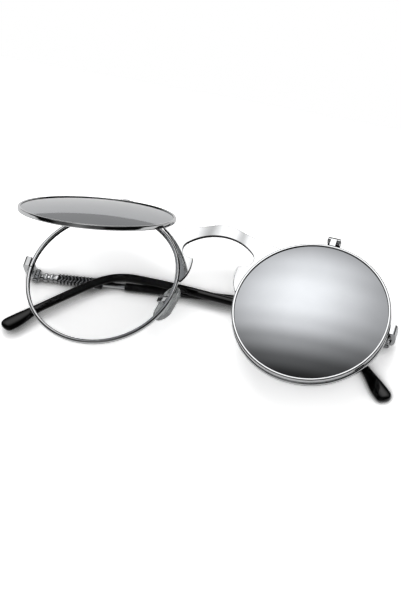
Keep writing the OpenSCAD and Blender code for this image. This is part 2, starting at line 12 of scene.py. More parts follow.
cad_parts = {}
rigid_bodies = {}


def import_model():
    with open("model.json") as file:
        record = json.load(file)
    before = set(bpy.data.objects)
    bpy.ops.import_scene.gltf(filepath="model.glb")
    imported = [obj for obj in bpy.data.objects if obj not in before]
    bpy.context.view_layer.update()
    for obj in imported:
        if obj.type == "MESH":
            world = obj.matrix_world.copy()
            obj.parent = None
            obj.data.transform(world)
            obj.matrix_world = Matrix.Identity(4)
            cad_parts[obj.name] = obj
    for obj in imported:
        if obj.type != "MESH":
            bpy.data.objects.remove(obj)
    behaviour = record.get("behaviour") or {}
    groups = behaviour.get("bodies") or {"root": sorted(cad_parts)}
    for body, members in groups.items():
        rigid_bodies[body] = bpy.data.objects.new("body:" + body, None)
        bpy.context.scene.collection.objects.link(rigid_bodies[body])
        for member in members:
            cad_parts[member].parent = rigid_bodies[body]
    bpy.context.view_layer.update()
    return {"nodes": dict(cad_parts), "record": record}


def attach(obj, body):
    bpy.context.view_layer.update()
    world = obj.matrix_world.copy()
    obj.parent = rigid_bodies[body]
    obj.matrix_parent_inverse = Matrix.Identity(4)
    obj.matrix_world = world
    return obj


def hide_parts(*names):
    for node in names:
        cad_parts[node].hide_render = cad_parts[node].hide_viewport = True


bl_info = {
    "name": "Flip Up Glasses",
    "version": (1, 0, 0),
    "blender": (4, 5, 0),
    "location": "3D View > Sidebar > Glasses",
    "description": "Builds the pieces, finishes and studio of folded flip up glasses",
    "category": "Object",
}

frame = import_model()
NODES = frame["nodes"]
MM = 0.001
SIDES = (("left", -1), ("right", 1))


def linear(hex_colour):
    """sRGB hex to the linear values that a shader takes."""
    parts = [int(hex_colour[i : i + 2], 16) / 255 for i in (1, 3, 5)]
    return tuple(c / 12.92 if c <= 0.04045 else ((c + 0.055) / 1.055) ** 2.4 for c in parts)


# Sizes and colours a user would change


def colour_property(name, description, hex_colour):
    return FloatVectorProperty(
        name=name,
        description=description,
        subtype="COLOR",
        size=3,
        min=0,
        max=1,
        default=linear(hex_colour),
    )


def length_property(name, description, millimetres):
    return FloatProperty(
        name=name,
        description=description,
        default=millimetres * MM,
        min=0,
        subtype="DISTANCE",
        unit="LENGTH",
        precision=5,
    )


class GlassesSizes(bpy.types.PropertyGroup):
    plate_edge: length_property("Plate Edge", "Radius of the bridge plate's rounded edge", 0.44)
    sleeve_crown: FloatProperty(
        name="Sleeve Crown",
        description="Section of the ear sleeves: 2 is an ellipse, more is flatter",
        default=2.4,
        min=2,
        max=8,
    )
    stroke_pitch: length_property("Stroke Pitch", "Distance between two strokes of a grip", 1.2)
    stroke_height: length_property("Stroke Height", "How far a stroke stands proud of the grip", 0.1)
    stroke_slant: FloatProperty(
        name="Stroke Slant",
        description="Slant of the herringbone strokes",
        default=math.radians(36),
        subtype="ANGLE",
    )
    wire_radius: length_property("Arm Wire", "Radius of the bent wire that carries a nose pad", 0.4)
    pad_edge: length_property("Pad Edge", "Thickness of a nose pad near its rim", 1.0)
    wire_steps: IntProperty(
        name="Wire Steps",
        description="Points along a nose pad's wire",
        default=40,
        min=8,
        max=200,
    )


class GlassesColours(bpy.types.PropertyGroup):
    chrome: colour_property("Chrome", "Colour of the plated frame", "#D2D3D4")
    mirror: colour_property("Mirror", "Colour of the mirror coating", "#AEB0B3")
    sleeve: colour_property("Sleeve", "Colour of the moulded ear sleeves", "#030303")
    groove: colour_property("Groove", "Colour of the darkened grooves of the grips", "#2A2A2B")
    silicone: colour_property("Silicone", "Tint of the clear nose pads", "#E9ECEC")
    steel: colour_property("Steel", "Colour of the screws and hinge pins", "#B9BABC")
    table: colour_property("Table", "Colour of the table top", "#F0F0F0")


# Where the pieces are: millimetres in the front's frame, drawn for the right and mirrored for the left

RIM_SPACING = 71.8
RIM_R = 26.0
RIM_W = 1.3
RIM_T = 1.7
FLIP_W = 0.95
FLIP_T = 1.6
FLIP_GAP = 0.9
FLIP_PIN_RISE = 2.6
FLIP_Z = RIM_T / 2 + FLIP_GAP + FLIP_T / 2
FLIP_OPEN = {-1: math.radians(47.5), 1: 0.0}
RIM_SPLIT = (-0.575, -0.325)
CLEAR_T = 1.1
MIRROR_T = 0.8
LENS_DOME = 2.0
GROOVE_DEEP = 0.35
GROOVE_PLAY = 0.12
LENS_SEAT = 0.33
PLATE_Z = 2.25
PLATE_T = 1.15
WRAP = math.radians(4.1)
FOLD = math.radians(1.0)
HINGE = (60.5, 0.9, -8.4)
TEMPLE_OFF = 0.8
SLEEVE_H = 2.9
SLEEVE_T = 1.9
RISE = {-1: math.radians(5.1), 1: math.radians(3.9)}
# The left temple's point that lies at the origin, and how high the front then lies
REST_U = 62.0
LIFT = TEMPLE_OFF + SLEEVE_T / 2 + HINGE[0] * math.sin(FOLD) - HINGE[2] * math.cos(FOLD)
REST_X = -HINGE[0] * math.cos(FOLD) - HINGE[2] * math.sin(FOLD) + REST_U * math.cos(RISE[-1])
REST_Y = HINGE[1] + REST_U * math.sin(RISE[-1])


def move(x, y, z):
    return Matrix.Translation((x, y, z))


def turn(angle, axis):
    return Matrix.Rotation(angle, 4, axis)


def front(side):
    """The front's own frame: X outward, Y up the front, Z out of its face."""
    return move(-REST_X, -REST_Y, LIFT) @ turn(-FOLD, "Y") @ Matrix.Diagonal((side, 1, 1, 1))


def temple(side):
    """X from the hinge to the tip, Y up, Z to the inner face, with the bar's middle line on X."""
    return (
        front(side)
        @ move(*HINGE)
        @ turn(side * FOLD, "Y")
        @ Matrix.Diagonal((-1, 1, 1, 1))
        @ turn(RISE[side], "Z")
        @ move(0, 0, -TEMPLE_OFF)
    )


PAD_PLACE = (13.8, -2.7, -4.3)
PAD_SPLAY = math.radians(58)
PAD_FLARE = math.radians(10)


def pad_in_front():
    """Y up a nose pad, Z out of its back, within the front's frame."""
    return move(*PAD_PLACE) @ turn(PAD_FLARE, "Z") @ turn(math.pi / 2 - PAD_SPLAY, "Y")


def rim_in_front():
    """The middle of a rim, within the front's frame."""
    return move(RIM_SPACING / 2, 0, 0) @ turn(WRAP, "Y")


def flip_in_front(side):
    """The middle of a flip ring: the left flip stands open on its hinge."""
    pin = (0, RIM_R + FLIP_PIN_RISE, RIM_T / 2 + FLIP_GAP)
    opened = turn(-FLIP_OPEN[side], "X")
    return rim_in_front() @ move(*pin) @ opened @ move(*(-p for p in pin)) @ move(0, 0, FLIP_Z)


# Making meshes


def piece(name, mesh, body, material, slot, *nodes):
    """Places a finished mesh as a piece that rides on a body and stands for CAD nodes."""
    thing = bpy.data.objects.new(name, mesh)
    bpy.context.scene.collection.objects.link(thing)
    mesh.name = name
    if material is not None:
        mesh.materials.clear()
        mesh.materials.append(material)
    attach(thing, body)
    if nodes:
        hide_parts(*nodes)
    return thing


def finish_mesh(bm, place, smooth_angle=35):
    """Merges doubles, points the faces outward and puts the mesh in its place in metres."""
    bmesh.ops.remove_doubles(bm, verts=bm.verts, dist=0.002)
    bmesh.ops.transform(bm, matrix=Matrix.Scale(MM, 4) @ place, verts=bm.verts)
    bmesh.ops.recalc_face_normals(bm, faces=bm.faces)
    mesh = bpy.data.meshes.new("mesh")
    bm.to_mesh(mesh)
    bm.free()
    mesh.shade_smooth()
    mesh.set_sharp_from_angle(angle=math.radians(smooth_angle))
    return mesh


def baked(mesh, *modifiers):
    """The mesh with modifiers applied: each is (type, settings)."""
    helper = bpy.data.objects.new("helper", mesh)
    bpy.context.scene.collection.objects.link(helper)
    for kind, settings in modifiers:
        modifier = helper.modifiers.new(kind, kind)
        for key, value in settings.items():
            setattr(modifier, key, value)
    bpy.context.view_layer.update()
    graph = bpy.context.evaluated_depsgraph_get()
    result = bpy.data.meshes.new_from_object(helper.evaluated_get(graph))
    bpy.data.objects.remove(helper)
    return result


def rounded_box(half_h, half_t, corner, steps=5):
    """Points of a rounded rectangle in the Y Z plane, anticlockwise."""
    corner = min(corner, half_h, half_t)
    points = []
    for k, (cy, cz) in enumerate(((1, 1), (-1, 1), (-1, -1), (1, -1))):
        for i in range(steps + 1):
            a = math.pi / 2 * (k + i / steps)
            y = cy * (half_h - corner) + corner * math.cos(a)
            points.append((y, cz * (half_t - corner) + corner * math.sin(a)))
    return points


def loft(bm, rings, close_ends=True):
    """Skins rings of points that all have the same count."""
    made = [[bm.verts.new(p) for p in ring] for ring in rings]
    count = len(made[0])
    for a, b in zip(made, made[1:]):
        for i in range(count):
            j = (i + 1) % count
            bm.faces.new((a[i], a[j], b[j], b[i]))
    if close_ends:
        bm.faces.new(list(reversed(made[0])))
        bm.faces.new(made[-1])
    return made


# The temple: its path and the pieces along it

# Lengths of the path and by how many degrees each bends down
ARCS = ((66.5, 0.0), (21.5, 4.3), (11.0, 31.0), (6.0, 9.5), (31.0, 2.5))
PATH_END = sum(length for length, _ in ARCS)
SLEEVE_START = 30.2
FLARE_L = 15
FLARE_UP = 0.4
FLARE_DOWN = 1.8
TIP_L = 2.2
BRAID_START = 7.2
BRAID_L = 15.3
BRAID_HALF_T = 0.85


def on_path(s):
    """Point and direction angle of the temple's middle line, s millimetres from the hinge."""
    x, y, heading = 0.0, 0.0, 0.0
    for k, (length, bend) in enumerate(ARCS):
        part = s if k == len(ARCS) - 1 else min(s, length)
        half = math.radians(bend) * part / length / 2
        chord = part if abs(half) < 1e-9 else part * math.sin(half) / half
        x += chord * math.cos(heading + half)
        y -= chord * math.sin(heading + half)
        heading += 2 * half
        s -= part
        if s <= 1e-9:
            break
    return x, y, heading


def flare(s):
    """Share of the ear end's widening at s, eased from 0 to 1 and full before the tip."""
    f = min(max((s - PATH_END + FLARE_L) / (FLARE_L * 0.75), 0), 1)
    return f * f * (3 - 2 * f)


def closing(s, length=TIP_L):
    """Share of the full section at s: it shrinks to 0 in a quarter round over the tip's length."""
    f = min((PATH_END - s) / length, 1)
    return math.sqrt(max(1 - (1 - f) ** 2, 0))


def path_ring(s, up, down, half_t, corner):
    """A rounded section across the path, up and down being its edges from the middle line."""
    x, y, heading = on_path(s)
    middle, half_h = (up - down) / 2, (up + down) / 2
    return [
        (x + (middle + h) * math.sin(heading), y + (middle + h) * math.cos(heading), t)
        for h, t in rounded_box(half_h, half_t, corner)
    ]


def crowned_ring(s, up, down, half_t, crown):
    """A section across the path with crowned faces: 2 gives an ellipse, more gives flatter faces."""
    x, y, heading = on_path(s)
    middle, half_h = (up - down) / 2, (up + down) / 2
    points = []
    for i in range(40):
        c, d = math.cos(math.pi * i / 20), math.sin(math.pi * i / 20)
        h = middle + half_h * math.copysign(abs(c) ** (2 / crown), c)
        t = half_t * math.copysign(abs(d) ** (2 / crown), d)
        points.append((x + h * math.sin(heading), y + h * math.cos(heading), t))
    return points


def sleeve_mesh(side, crown):
    """An ear sleeve: a softened mouth, an even stretch, the bend, and a flared and rounded ear end."""
    mouth_l, mouth_inset = 0.3, 0.16
    least, tip_share, thin_l = 0.05, 0.55, 1.6
    stations = [SLEEVE_START, SLEEVE_START + 0.12, SLEEVE_START + mouth_l]
    stations += list(np.linspace(SLEEVE_START + 1, 64, 12))
    stations += list(np.linspace(66, PATH_END - 2.4, 60))
    stations += [PATH_END - TIP_L * (1 - math.sin(math.pi / 2 * i / 10.4)) for i in range(1, 11)]
    rings = []
    for s in stations:
        mouth = max(0.0, 1 - (s - SLEEVE_START) / mouth_l)
        inset = mouth_inset * mouth * mouth
        shut = closing(s)
        thick = SLEEVE_T / 2 * (tip_share + (1 - tip_share) * closing(s, thin_l)) - inset
        up = (SLEEVE_H / 2 + FLARE_UP * flare(s)) * shut - inset
        down = (SLEEVE_H / 2 + FLARE_DOWN * flare(s)) * shut - inset
        rings.append(crowned_ring(s, max(up, least), max(down, least), thick, crown))
    bm = bmesh.new()
    loft(bm, rings)
    return finish_mesh(bm, temple(side), 50)


def bar_mesh(side):
    """The bare stretch of bar between the grip and the sleeve."""
    half_h, half_t, corner, overlap = 0.8, 0.65, 0.3, 0.4
    bm = bmesh.new()
    stations = (BRAID_START - overlap, 20, 26, SLEEVE_START + 1)
    loft(bm, [path_ring(s, half_h, half_h, half_t, corner) for s in stations])
    return finish_mesh(bm, temple(side))


def leaf_mesh(side):
    """Knuckle, neck, two turned beads and a collar that runs up to the grip."""
    # distance from the hinge, half height and half thickness: neck, first bead, waist, second bead, collar
    neck_steps = ((1.0, 0.75, 0.6), (2.0, 0.8, 0.62), (2.3, 1.1, 0.68))
    first_bead = ((2.5, 1.38, 0.78), (2.8, 1.45, 0.8), (3.3, 1.45, 0.8), (3.6, 1.36, 0.76))
    waist = ((3.75, 0.95, 0.6), (4.35, 0.95, 0.6))
    second_bead = ((4.5, 1.36, 0.76), (4.75, 1.45, 0.8), (5.3, 1.45, 0.8), (5.55, 1.36, 0.76))
    collar = ((5.7, 1.05, 0.64), (5.95, 1.1, 0.66), (6.2, 1.3, 0.7), (7.16, 1.3, 0.7))
    corner, knuckle_r, knuckle_facets = 0.5, 1.3, 48
    bm = bmesh.new()
    rings = []
    for u, half_h, half_t in neck_steps + first_bead + waist + second_bead + collar:
        rings.append([(u, y, z) for y, z in rounded_box(half_h, half_t, corner)])
    loft(bm, rings)
    neck = finish_mesh(bm, temple(side), 40)
    knuckle = bmesh.new()
    angles = [2 * math.pi * i / knuckle_facets for i in range(knuckle_facets)]
    ring = [(knuckle_r * math.cos(a), knuckle_r * math.sin(a)) for a in angles]
    levels = ((-0.75, 0.94), (-0.67, 1), (0.67, 1), (0.75, 0.94))
    loft(knuckle, [[(x * f, y, z * f) for x, z in ring] for y, f in levels])
    place = temple(side) @ move(0, 0, TEMPLE_OFF) @ turn(-RISE[side], "Z")
    turned = finish_mesh(knuckle, place, 40)
    whole = bmesh.new()
    whole.from_mesh(neck)
    whole.from_mesh(turned)
    mesh = bpy.data.meshes.new("leaf")
    whole.to_mesh(mesh)
    whole.free()
    return mesh


def grip_core_mesh(side):
    """Dark body of the grip, tapered, with a square end."""
    start_h, taper, sunk, corner = 2.85, 0.65, 0.06, 0.35
    bm = bmesh.new()
    rings = []
    for u, grow in ((0, -0.2), (0.15, 0), (BRAID_L * 0.5, 0), (BRAID_L - 0.12, 0), (BRAID_L, -0.1)):
        half_h = (start_h + taper * u / BRAID_L) / 2 + grow - sunk
        section = rounded_box(half_h, BRAID_HALF_T - sunk + grow, corner)
        rings.append([(BRAID_START + u, y, z) for y, z in section])
    loft(bm, rings)
    return finish_mesh(bm, temple(side))


# Geometry Nodes: what repeats or follows a path


def tree_with(name, inputs):
    """A geometry tree with named inputs: each is (name, socket type, default)."""
    tree = bpy.data.node_groups.new(name, "GeometryNodeTree")
    tree.interface.new_socket("Geometry", in_out="INPUT", socket_type="NodeSocketGeometry")
    tree.interface.new_socket("Geometry", in_out="OUTPUT", socket_type="NodeSocketGeometry")
    for label, kind, default in inputs:
        socket = tree.interface.new_socket(label, in_out="INPUT", socket_type=kind)
        if default is not None:
            socket.default_value = default
    return tree


def add(tree, kind, settings=None, inputs=None, links=None):
    """Adds a node with its settings, the values of its inputs and links into them."""
    node = tree.nodes.new(kind)
    for key, value in (settings or {}).items():
        setattr(node, key, value)
    for key, value in (inputs or {}).items():
        node.inputs[key].default_value = value
    for key, source in (links or {}).items():
        tree.links.new(source, node.inputs[key])
    return node


def calc(tree, operation, *operands):
    """Result of a Math node; each operand is another node's output or a plain number."""
    node = add(tree, "ShaderNodeMath", {"operation": operation})
    for k, operand in enumerate(operands):
        if isinstance(operand, bpy.types.NodeSocket):
            tree.links.new(operand, node.inputs[k])
        else:
            node.inputs[k].default_value = operand
    return node.outputs[0]


def painted(tree, geometry, material):
    """Ends a geometry tree: real geometry with its material."""
    real = add(tree, "GeometryNodeRealizeInstances", None, None, {0: geometry})
    links = {"Geometry": real.outputs[0], "Material": material}
    paint = add(tree, "GeometryNodeSetMaterial", None, None, links)
    add(tree, "NodeGroupOutput", None, None, {0: paint.outputs[0]})
    return tree


def run_tree(name, mesh, tree, values):
    """Runs a tree on a mesh and gives back the plain mesh that it makes."""
    helper = bpy.data.objects.new(name, mesh)
    bpy.context.scene.collection.objects.link(helper)
    modifier = helper.modifiers.new(name, "NODES")
    modifier.node_group = tree
    for item in tree.interface.items_tree:
        if item.in_out == "INPUT" and item.name in values:
            modifier[item.identifier] = values[item.name]
    bpy.context.view_layer.update()
    graph = bpy.context.evaluated_depsgraph_get()
    result = bpy.data.meshes.new_from_object(helper.evaluated_get(graph))
    helper.modifiers.clear()
    bpy.data.objects.remove(helper)
    return result


def herringbone_tree():
    """One row of strokes: the incoming stroke, slanted and repeated along a line."""
    tree = tree_with(
        "Herringbone Row",
        [
            ("Length", "NodeSocketFloat", 15.0),
            ("Pitch", "NodeSocketFloat", 1.2),
            ("Slant", "NodeSocketFloat", 0.6),
            ("Material", "NodeSocketMaterial", None),
        ],
    )
    group = add(tree, "NodeGroupInput")
    count = calc(tree, "FLOOR", calc(tree, "DIVIDE", group.outputs["Length"], group.outputs["Pitch"]))
    offset = add(tree, "ShaderNodeCombineXYZ", None, None, {"X": group.outputs["Pitch"]})
    line = add(
        tree,
        "GeometryNodeMeshLine",
        {"mode": "OFFSET"},
        None,
        {"Count": count, "Offset": offset.outputs[0]},
    )
    slant = add(tree, "ShaderNodeCombineXYZ", None, None, {"Z": group.outputs["Slant"]})
    copies = add(
        tree,
        "GeometryNodeInstanceOnPoints",
        None,
        None,
        {"Points": line.outputs[0], "Instance": group.outputs["Geometry"], "Rotation": slant.outputs[0]},
    )
    return painted(tree, copies.outputs[0], group.outputs["Material"])


def wire_tree():
    """A round wire along the edges of the incoming polyline, with its bends eased."""
    tree = tree_with(
        "Bent Wire",
        [
            ("Radius", "NodeSocketFloat", 0.4),
            ("Steps", "NodeSocketInt", 40),
            ("Material", "NodeSocketMaterial", None),
        ],
    )
    group = add(tree, "NodeGroupInput")
    path = add(tree, "GeometryNodeMeshToCurve", None, None, {0: group.outputs["Geometry"]})
    rounding = {"spline_type": "CATMULL_ROM"}
    smooth = add(tree, "GeometryNodeCurveSplineType", rounding, None, {0: path.outputs[0]})
    spread = {"Curve": smooth.outputs[0], "Count": group.outputs["Steps"]}
    even = add(tree, "GeometryNodeResampleCurve", None, None, spread)
    width = {"Radius": group.outputs["Radius"]}
    section = add(tree, "GeometryNodeCurvePrimitiveCircle", None, {"Resolution": 20}, width)
    wire = add(
        tree,
        "GeometryNodeCurveToMesh",
        None,
        {"Fill Caps": True},
        {"Curve": even.outputs[0], "Profile Curve": section.outputs[0]},
    )
    shade = add(tree, "GeometryNodeSetShadeSmooth", None, None, {"Geometry": wire.outputs[0]})
    return painted(tree, shade.outputs[0], group.outputs["Material"])


# Finishes


def new_material(name):
    material = bpy.data.materials.new(name)
    material.use_nodes = True
    material.node_tree.nodes.clear()
    return material, material.node_tree


def surface(tree, inputs, links=None):
    shader = add(tree, "ShaderNodeBsdfPrincipled", None, inputs, links)
    add(tree, "ShaderNodeOutputMaterial", None, None, {"Surface": shader.outputs[0]})
    return shader


def object_noise(tree, per_millimetre, detail=3.0, stretch=(1, 1, 1)):
    """Noise on Object coordinates, so many blotches to a millimetre."""
    place = add(tree, "ShaderNodeTexCoord")
    scaled = add(tree, "ShaderNodeMapping", None, {"Scale": stretch}, {"Vector": place.outputs["Object"]})
    values = {"Scale": per_millimetre / MM, "Detail": detail}
    return add(tree, "ShaderNodeTexNoise", None, values, {"Vector": scaled.outputs[0]})


def graded(tree, source, low, high, start=0.0, end=1.0, easing="LINEAR"):
    """Turns the stretch from start to end into a range of plain values."""
    values = {"From Min": start, "From Max": end, "To Min": low, "To Max": high}
    kind = {"interpolation_type": easing}
    return add(tree, "ShaderNodeMapRange", kind, values, {"Value": source}).outputs[0]


def mixed(tree, share, first, second):
    """A colour between two: each is a node's output or a linear colour."""
    node = add(tree, "ShaderNodeMix", {"data_type": "RGBA"}, None, {0: share})
    for k, colour in ((6, first), (7, second)):
        if isinstance(colour, bpy.types.NodeSocket):
            tree.links.new(colour, node.inputs[k])
        else:
            node.inputs[k].default_value = (*colour, 1)
    return node.outputs[2]


def tinted(tree, source, dark, light):
    """A ramp between two linear colours."""
    ramp = add(tree, "ShaderNodeValToRGB", None, None, {"Fac": source})
    ramp.color_ramp.elements[0].color = (*dark, 1)
    ramp.color_ramp.elements[1].color = (*light, 1)
    ramp.color_ramp.elements[0].position = 0.35
    ramp.color_ramp.elements[1].position = 0.65
    return ramp.outputs[0]


def scaled_colour(colour, factor):
    return tuple(min(c * factor, 1.0) for c in colour)


# Painted shade: the dark colour put into the chrome's corners and crevices
PAINTED_CORNER_SHADE = linear("#191919")
# Painted shade: the dark colour put on the sheet's edges
PAINTED_EDGE_SHADE = linear("#272727")
CORNER_REACH = 0.9


def with_painted_corner_shade(tree, colour):
    """Paints shade into a colour: darker in the corners and crevices, where shade falls."""
    corner = add(tree, "ShaderNodeAmbientOcclusion", {"samples": 6}, {"Distance": CORNER_REACH * MM})
    unshaded_share = graded(tree, corner.outputs["AO"], 0.0, 1.0, 0.35, 0.8)
    return mixed(tree, unshaded_share, PAINTED_CORNER_SHADE, colour)


# Painted reflection bands on the bridge, dark upright stripes: distance from the middle of the front, half
# width, strength
PAINTED_REFLECTION_BANDS = ((-5.2, 5.5, 0.95), (6.2, 3.6, 0.7))


def with_painted_edge_shade(tree, colour):
    """Paints shade on the edge of a sheet: faces that look away from its front are darker."""
    place = add(tree, "ShaderNodeTexCoord")
    outward = {1: front(1).to_3x3() @ Vector((0, 0, 1))}
    kind = {"operation": "DOT_PRODUCT"}
    facing = add(tree, "ShaderNodeVectorMath", kind, outward, {0: place.outputs["Normal"]})
    flat = graded(tree, facing.outputs["Value"], 0.0, 1.0, 0.75, 0.99)
    return mixed(tree, flat, PAINTED_EDGE_SHADE, colour)


def with_painted_reflection_bands(tree, colour, dark):
    """Paints the upright dark reflection bands, soft at their sides and uneven along their height."""
    place = add(tree, "ShaderNodeTexCoord")
    across = add(tree, "ShaderNodeSeparateXYZ", None, None, {0: place.outputs["Object"]})
    streaks = object_noise(tree, 0.2, 1.5, (1, 0.2, 1))
    uneven = graded(tree, streaks.outputs[0], 0.35, 1.0)
    for x, reach, strength in PAINTED_REFLECTION_BANDS:
        middle = (front(1) @ Vector((x, 0, 0))).x * MM
        away = calc(tree, "ABSOLUTE", calc(tree, "SUBTRACT", across.outputs[0], middle))
        near = graded(tree, away, strength, 0.0, 0.0, reach * MM, "SMOOTHSTEP")
        colour = mixed(tree, calc(tree, "MULTIPLY", near, uneven), colour, dark)
    return colour


def banded_chrome_sheet(colours):
    """Chrome plated sheet: upright painted reflection bands on the middle of the arch, and painted shade on
    its edges.
    """
    return chrome_plate(colours, "Chrome Sheet With Painted Reflections", True)


def chrome_plate(colours, name="Polished Chrome Plate", painted_bands=False):
    """Polished chrome plate over buffed brass: a near mirror with faint smudges, a soft stamped edge and
    painted shade in its corners.
    """
    material, tree = new_material(name)
    smudge = object_noise(tree, 0.35, 4)
    buff = object_noise(tree, 5, 2, (1, 0.12, 1))
    edge = add(tree, "ShaderNodeBevel", {"samples": 4}, {"Radius": 0.11 * MM})
    bump = add(
        tree,
        "ShaderNodeBump",
        None,
        {"Strength": 0.05, "Distance": 0.004 * MM},
        {"Height": buff.outputs[0], "Normal": edge.outputs[0]},
    )
    clean = tinted(tree, smudge.outputs[0], scaled_colour(colours.chrome, 0.94), colours.chrome)
    if painted_bands:
        clean = with_painted_edge_shade(tree, with_painted_reflection_bands(tree, clean, scaled_colour(colours.chrome, 0.12)))
    surface(
        tree,
        {"Metallic": 1.0},
        {
            "Base Color": with_painted_corner_shade(tree, clean),
            "Roughness": graded(tree, smudge.outputs[0], 0.03, 0.09),
            "Normal": bump.outputs[0],
        },
    )
    return material


def mirror_coating(colours):
    """Vacuum coated polycarbonate: half of the light comes back, sharp, with a breath of haze."""
    material, tree = new_material("Mirror Coated Polycarbonate")
    haze = object_noise(tree, 0.12, 2)
    surface(
        tree,
        {"Metallic": 1.0},
        {
            "Base Color": tinted(tree, haze.outputs[0], scaled_colour(colours.mirror, 0.97), colours.mirror),
            "Roughness": graded(tree, haze.outputs[0], 0.035, 0.06),
        },
    )
    return material


def clear_lens(colours):
    """Anti-reflection coated polycarbonate: see through, with a reflection that shows only at a slant."""
    material, tree = new_material("Clear Polycarbonate")
    wipe = object_noise(tree, 0.2, 2)
    slant = add(tree, "ShaderNodeFresnel", None, {"IOR": 1.585})
    side = add(tree, "ShaderNodeNewGeometry")
    # light that leaves through the far side passes as it came in
    outer = graded(tree, side.outputs["Backfacing"], 0.5, 0.0)
    surface(
        tree,
        {"Base Color": (*linear("#272727"), 1), "IOR": 1.585},
        {
            "Roughness": graded(tree, wipe.outputs[0], 0.01, 0.04),
            "Alpha": calc(tree, "MULTIPLY", slant.outputs[0], outer),
        },
    )
    return material


def sleeve_plastic(colours):
    """Injection moulded acetate: black, glossy, with a slight orange peel from the mould."""
    material, tree = new_material("Glossy Black Acetate")
    peel = object_noise(tree, 0.9, 2)
    scuff = object_noise(tree, 0.3, 5)
    relief = {"Strength": 0.06, "Distance": 0.02 * MM}
    bump = add(tree, "ShaderNodeBump", None, relief, {"Height": peel.outputs[0]})
    surface(
        tree,
        {"Base Color": (*colours.sleeve, 1), "IOR": 1.49, "Specular IOR Level": 0.35},
        {"Roughness": graded(tree, scuff.outputs[0], 0.05, 0.12), "Normal": bump.outputs[0]},
    )
    return material


def groove_metal(colours):
    """Oxidised nickel left dark in the grooves of the stamped grip."""
    material, tree = new_material("Darkened Nickel")
    grain = object_noise(tree, 4, 4)
    surface(
        tree,
        {"Metallic": 1.0},
        {
            "Base Color": tinted(tree, grain.outputs[0], scaled_colour(colours.groove, 0.6), colours.groove),
            "Roughness": graded(tree, grain.outputs[0], 0.3, 0.5),
        },
    )
    return material


def stroke_metal(colours):
    """Buffed nickel on the raised strokes, brighter where a polishing wheel reached it."""
    material, tree = new_material("Buffed Nickel")
    grain = object_noise(tree, 3, 3)
    dull, bright = scaled_colour(colours.chrome, 0.7), scaled_colour(colours.chrome, 0.92)
    surface(
        tree,
        {"Metallic": 1.0},
        {
            "Base Color": tinted(tree, grain.outputs[0], dull, bright),
            "Roughness": graded(tree, grain.outputs[0], 0.12, 0.24),
        },
    )
    return material


def pad_silicone(colours):
    """Moulded clear silicone: cloudy glass, a little rough, that lets light through."""
    material, tree = new_material("Clear Silicone")
    cloud = object_noise(tree, 0.5, 2)
    surface(
        tree,
        {"Base Color": (*colours.silicone, 1), "IOR": 1.41, "Transmission Weight": 0.82},
        {"Roughness": graded(tree, cloud.outputs[0], 0.16, 0.26)},
    )
    return material


def screw_steel(colours):
    """Turned stainless steel: fine rings from the lathe, duller than the chrome round it."""
    material, tree = new_material("Turned Stainless Steel")
    turned = object_noise(tree, 6, 2)
    edge = add(tree, "ShaderNodeBevel", {"samples": 4}, {"Radius": 0.06 * MM})
    surface(
        tree,
        {"Metallic": 1.0},
        {
            "Base Color": tinted(tree, turned.outputs[0], scaled_colour(colours.steel, 0.8), colours.steel),
            "Roughness": graded(tree, turned.outputs[0], 0.18, 0.3),
            "Normal": edge.outputs[0],
        },
    )
    return material


FINISHES = {
    "chrome": chrome_plate,
    "sheet": banded_chrome_sheet,
    "mirror_lens": mirror_coating,
    "clear_lens": clear_lens,
    "sleeve": sleeve_plastic,
    "groove": groove_metal,
    "grip": stroke_metal,
    "silicone": pad_silicone,
    "screws": screw_steel,
}
made_finishes = {}


def finish_for(slot):
    if slot not in made_finishes:
        made_finishes[slot] = FINISHES[slot](bpy.context.scene.glasses_colours)
    return made_finishes[slot]


# Operators


class GLASSES_OT_plated_metal(bpy.types.Operator):
    """Gives every CAD piece its finish"""

    bl_idname = "glasses.plated_metal"
    bl_label = "Frame Finishes"

    def execute(self, context):
        slots = {row["node"]: row["material_slot"] for row in frame["record"]["subparts"]}
        for name, thing in NODES.items():
            finish = finish_for(slots[name])
            if not thing.material_slots:
                thing.data.materials.append(finish)
            for slot in thing.material_slots:
                slot.material = finish
        return {"FINISHED"}


# Facets round a ring or a lens
RING_STEPS = 180


def wire_section(width, thick, corner, groove, deep):
    """Section of a ring's wire as (radius, height), rounded all round, with the lens groove inside."""
    points = []
    for cx, cz, start in ((-corner, -1, -90), (-corner, 1, 0)):
        for i in range(9):
            a = math.radians(start + 90 * i / 8)
            height = cz * (thick / 2 - corner) + corner * math.sin(a)
            points.append((RIM_R + cx + corner * math.cos(a), height))
    inner = RIM_R - width
    soft = corner * 0.6
    for cz, start in ((1, 90), (-1, 180)):
        turned = []
        for i in range(7):
            a = math.radians(start + 90 * i / 6)
            turned.append((inner + soft + soft * math.cos(a), cz * (thick / 2 - soft) + soft * math.sin(a)))
        points += turned
        if cz > 0:
            bottom = groove * 0.94
            points += [(inner, groove), (inner + deep, bottom), (inner + deep, -bottom), (inner, -groove)]
    return points


def ring_mesh(place, section, gap=None):
    """Sweeps a section round Z; a gap in degrees leaves it open at +X, below the X axis."""
    bm = bmesh.new()
    first, last = (gap[1], 360 + gap[0]) if gap else (0, 360)
    rings = []
    for i in range(RING_STEPS + 1 if gap else RING_STEPS):
        a = math.radians(first + (last - first) * i / RING_STEPS)
        rings.append([bm.verts.new((r * math.cos(a), r * math.sin(a), z)) for r, z in section])
    if not gap:
        rings.append(rings[0])
    count = len(section)
    for a, b in zip(rings, rings[1:]):
        for i in range(count):
            j = (i + 1) % count
            bm.faces.new((a[i], a[j], b[j], b[i]))
    if gap:
        bm.faces.new(list(reversed(rings[0])))
        bm.faces.new(rings[-1])
    return finish_mesh(bm, place, 40)


